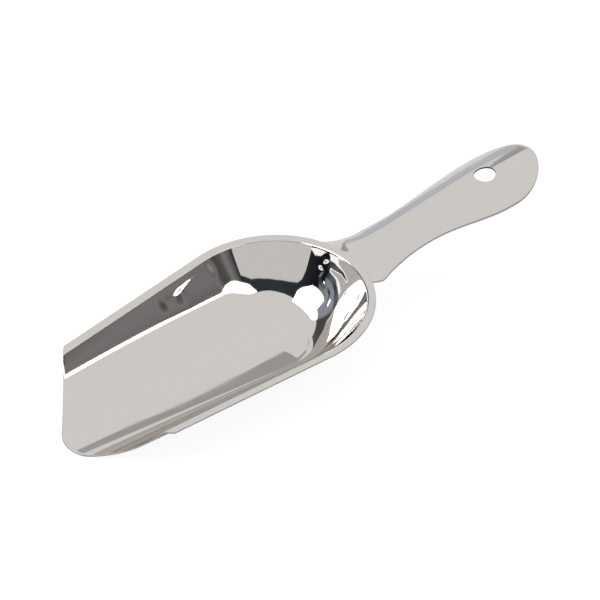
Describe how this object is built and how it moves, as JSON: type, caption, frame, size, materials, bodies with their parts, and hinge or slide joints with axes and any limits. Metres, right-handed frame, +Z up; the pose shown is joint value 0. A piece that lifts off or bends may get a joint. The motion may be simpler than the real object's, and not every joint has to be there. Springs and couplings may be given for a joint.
{
  "type": "ice scoop",
  "caption": "Small polished stainless steel bar scoop: pressed trough bowl with a flat rim flange and pointed lip, and an arched pressed handle with a hanging hole, lapped and spot welded.",
  "frame": {"origin": "under the middle of the whole scoop, on the surface that the bowl's flat floor stands on", "axes": "+X along the scoop from the lip towards the handle's end, +Y across it, +Z up"},
  "size_m": [0.201, 0.07, 0.0282],
  "materials": {
    "bowl_steel": "mirror polished stainless steel with fine polishing lines",
    "handle_steel": "mirror polished stainless steel with fine polishing lines",
    "weld_steel": "fused weld nugget, hidden between the sheets"
  },
  "bodies": {
    "root": {"bowl": "bowl_steel", "handle": "handle_steel", "spot_welds": "weld_steel"}
  },
  "joints": []
}
